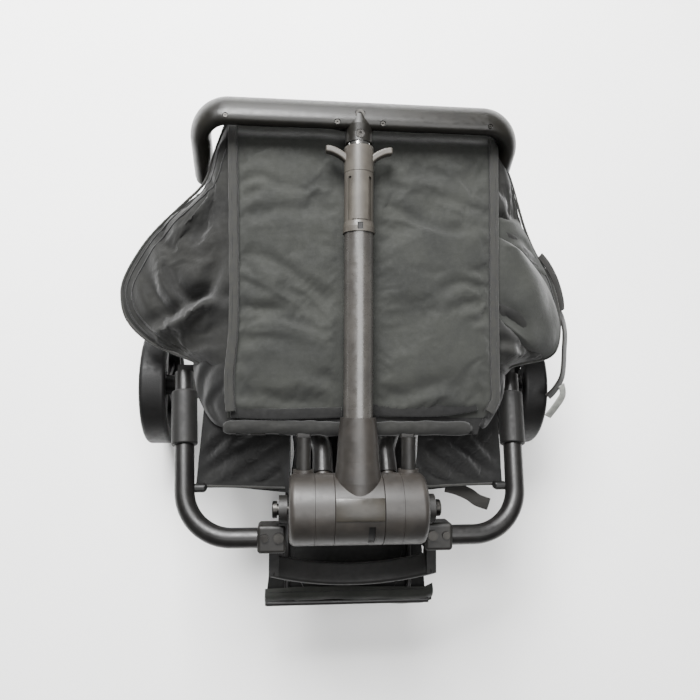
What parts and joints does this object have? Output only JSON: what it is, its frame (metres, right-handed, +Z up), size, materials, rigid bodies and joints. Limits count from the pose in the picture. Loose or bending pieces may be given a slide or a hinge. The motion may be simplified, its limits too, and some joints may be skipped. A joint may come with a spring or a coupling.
{
  "type": "folding pet stroller",
  "caption": "Folded compact pet stroller with a single telescopic post, a U grip, a one-shaft fold hub, swivel front casters, rear wheels, a cloth cabin and a basket.",
  "frame": {"origin": "on the floor, centred under the folded stroller", "axes": "+Z up, +Y towards the front casters and the grip of the folded stroller, +X to its right-hand side"},
  "size_m": [0.54, 0.5856, 0.288],
  "materials": {
    "satin_black_metal": "satin black powder coat",
    "bright_steel": "bright plated steel",
    "zinc_steel": "zinc plated steel",
    "black_moulding": "fine grained black moulding",
    "grip_moulding": "smooth satin black moulding",
    "grey_polyester": "dark grey woven polyester",
    "dark_webbing": "dark woven webbing",
    "foam_tyre": "solid foam tyre, matt",
    "rim_moulding": "moulded rim",
    "stiffener_sheet": "plain stiffener sheet"
  },
  "bodies": {
    "front_frame": {"hub_shaft": "zinc_steel", "front_hub_rings": "black_moulding", "front_leg_left": "satin_black_metal", "front_leg_right": "satin_black_metal", "front_cross_tube": "satin_black_metal", "link_shaft": "zinc_steel", "caster_housings": "black_moulding", "basket_rail": "zinc_steel", "basket": "grey_polyester", "basket_aprons": "grey_polyester"},
    "post": {"hub_drum": "black_moulding", "fold_latch": "black_moulding", "post_tube": "satin_black_metal", "collar_body": "black_moulding", "collar_plate": "grip_moulding", "back_hub_rings": "black_moulding", "back_links": "black_moulding", "back_rod": "zinc_steel", "back_board": "stiffener_sheet", "back_pad": "grey_polyester", "wing_left": "grey_polyester", "wing_right": "grey_polyester", "canopy_pivots": "black_moulding"},
    "handle": {"inner_tube": "bright_steel", "handle_neck": "grip_moulding", "handle_bar": "grip_moulding", "handle_corners": "grip_moulding", "handle_end_caps": "grip_moulding", "handle_screws": "zinc_steel"},
    "trigger": {"trigger": "grip_moulding"},
    "canopy_front": {"canopy_bow_front": "zinc_steel", "canopy_cloth": "grey_polyester"},
    "canopy_middle": {"canopy_bow_middle": "zinc_steel"},
    "seat": {"seat_board": "stiffener_sheet", "seat_pad": "grey_polyester", "seat_hinges": "black_moulding", "carry_strap": "dark_webbing"},
    "seat_links": {"seat_links": "zinc_steel"},
    "rear_frame": {"rear_tube_left": "satin_black_metal", "rear_tube_right": "satin_black_metal", "rear_sleeves": "black_moulding", "rear_fittings": "black_moulding", "fitting_bolts": "zinc_steel", "rear_yoke": "black_moulding", "rear_brackets": "black_moulding", "rear_axles": "zinc_steel"},
    "caster_left": {"caster_fork_left": "satin_black_metal", "caster_axle_left": "zinc_steel"},
    "front_wheel_left": {"front_tyre_left": "foam_tyre", "front_rim_left": "rim_moulding"},
    "rear_wheel_left": {"rear_tyre_left": "foam_tyre", "rear_rim_left": "rim_moulding"},
    "brake_left": {"brake_pedal_left": "black_moulding"},
    "caster_right": {"caster_fork_right": "satin_black_metal", "caster_axle_right": "zinc_steel"},
    "front_wheel_right": {"front_tyre_right": "foam_tyre", "front_rim_right": "rim_moulding"},
    "rear_wheel_right": {"rear_tyre_right": "foam_tyre", "rear_rim_right": "rim_moulding"},
    "brake_right": {"brake_pedal_right": "black_moulding"}
  },
  "joints": [
    {"name": "fold", "type": "hinge", "parent": "front_frame", "child": "post", "pos_m": [0, -0.1575, 0.25], "axis": [1, 0, 0], "range_deg": [0, 108]},
    {"name": "rear_swing", "type": "hinge", "parent": "front_frame", "child": "rear_frame", "pos_m": [0, -0.1575, 0.25], "axis": [1, 0, 0], "range_deg": [-76.03, 0]},
    {"name": "seat_turn", "type": "hinge", "parent": "post", "child": "seat", "pos_m": [0, -0.0735, 0.2315], "axis": [1, 0, 0], "range_deg": [-94.1, 0]},
    {"name": "seat_link_turn", "type": "hinge", "parent": "front_frame", "child": "seat_links", "pos_m": [0, -0.0745, 0.188], "axis": [1, 0, 0], "range_deg": [0, 69.63]},
    {"name": "canopy_front_turn", "type": "hinge", "parent": "post", "child": "canopy_front", "pos_m": [0, 0.0325, 0.214], "axis": [1, 0, 0], "range_deg": [-98.1, 0]},
    {"name": "canopy_middle_turn", "type": "hinge", "parent": "post", "child": "canopy_middle", "pos_m": [0, 0.0325, 0.214], "axis": [1, 0, 0], "range_deg": [-49.1, 0]},
    {"name": "handle_slide", "type": "slide", "parent": "post", "child": "handle", "axis": [0, 1, 0], "range_m": [0, 0.24]},
    {"name": "trigger_pull", "type": "slide", "parent": "post", "child": "trigger", "axis": [0, 1, 0], "range_m": [0, 0.004], "stiffness_N_per_m": 900},
    {"name": "caster_swivel_left", "type": "hinge", "parent": "front_frame", "child": "caster_left", "pos_m": [-0.16, 0.2185, 0.15], "axis": [0, 0, 1], "continuous": true},
    {"name": "front_wheel_spin_left", "type": "hinge", "parent": "caster_left", "child": "front_wheel_left", "pos_m": [-0.16, 0.1935, 0.06], "axis": [1, 0, 0], "continuous": true},
    {"name": "rear_wheel_spin_left", "type": "hinge", "parent": "rear_frame", "child": "rear_wheel_left", "pos_m": [-0.241, -0.0225, 0.077], "axis": [1, 0, 0], "continuous": true},
    {"name": "brake_left_press", "type": "hinge", "parent": "rear_frame", "child": "brake_left", "pos_m": [-0.18, -0.0225, 0.077], "axis": [1, 0, 0], "range_deg": [0, 15]},
    {"name": "caster_swivel_right", "type": "hinge", "parent": "front_frame", "child": "caster_right", "pos_m": [0.16, 0.2185, 0.15], "axis": [0, 0, 1], "continuous": true},
    {"name": "front_wheel_spin_right", "type": "hinge", "parent": "caster_right", "child": "front_wheel_right", "pos_m": [0.16, 0.1935, 0.06], "axis": [1, 0, 0], "continuous": true},
    {"name": "rear_wheel_spin_right", "type": "hinge", "parent": "rear_frame", "child": "rear_wheel_right", "pos_m": [0.241, -0.0225, 0.077], "axis": [1, 0, 0], "continuous": true},
    {"name": "brake_right_press", "type": "hinge", "parent": "rear_frame", "child": "brake_right", "pos_m": [0.18, -0.0225, 0.077], "axis": [1, 0, 0], "range_deg": [0, 15]}
  ],
  "couplings": [
    {"joint": "rear_swing", "follows": "fold", "ratio": -0.70306},
    {"joint": "seat_turn", "follows": "fold", "ratio": -0.87037},
    {"joint": "seat_link_turn", "follows": "fold", "ratio": 0.6438},
    {"joint": "canopy_front_turn", "follows": "fold", "ratio": -0.90741},
    {"joint": "canopy_middle_turn", "follows": "fold", "ratio": -0.4537}
  ]
}
